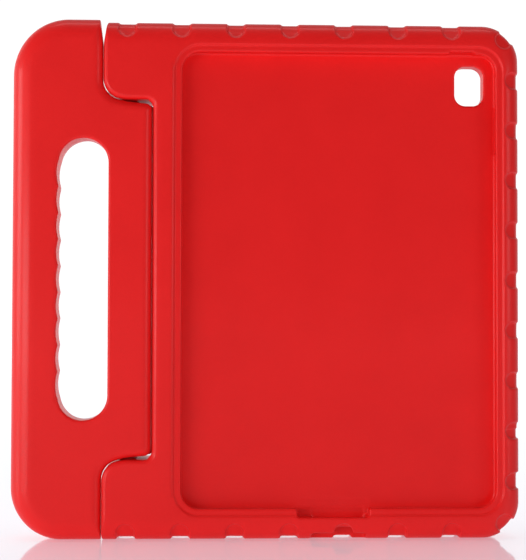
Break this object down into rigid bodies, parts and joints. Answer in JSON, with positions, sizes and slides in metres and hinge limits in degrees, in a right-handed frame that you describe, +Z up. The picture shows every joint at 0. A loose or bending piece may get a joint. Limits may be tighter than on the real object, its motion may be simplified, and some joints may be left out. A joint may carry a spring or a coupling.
{
  "type": "tablet case",
  "caption": "Padded foam tablet case with notched edges and a side carry handle that hinges back as a stand.",
  "frame": {"origin": "middle of the bottom of the whole case, standing upright on its bottom edge with the handle folded out at its left", "axes": "+X to the right as seen from the screen side, +Z up along the tall side, -Y out of the screen opening, +Y out of the back"},
  "size_m": [0.279, 0.028, 0.2847],
  "materials": {
    "foam": "matte",
    "pin_nylon": "satin",
    "bush_acetal": "satin"
  },
  "bodies": {
    "case": {"body_shell": "foam", "upper_ear_socket": "bush_acetal", "lower_ear_socket": "bush_acetal"},
    "carry_handle": {"handle": "foam", "upper_hinge_pin": "pin_nylon", "lower_hinge_pin": "pin_nylon", "upper_tongue_sleeve": "bush_acetal", "lower_tongue_sleeve": "bush_acetal"}
  },
  "joints": [
    {"name": "handle_fold", "type": "hinge", "parent": "case", "child": "carry_handle", "pos_m": [-0.07595, 0, 0.1418], "axis": [0, 0, -1], "range_deg": [0, 115]}
  ]
}
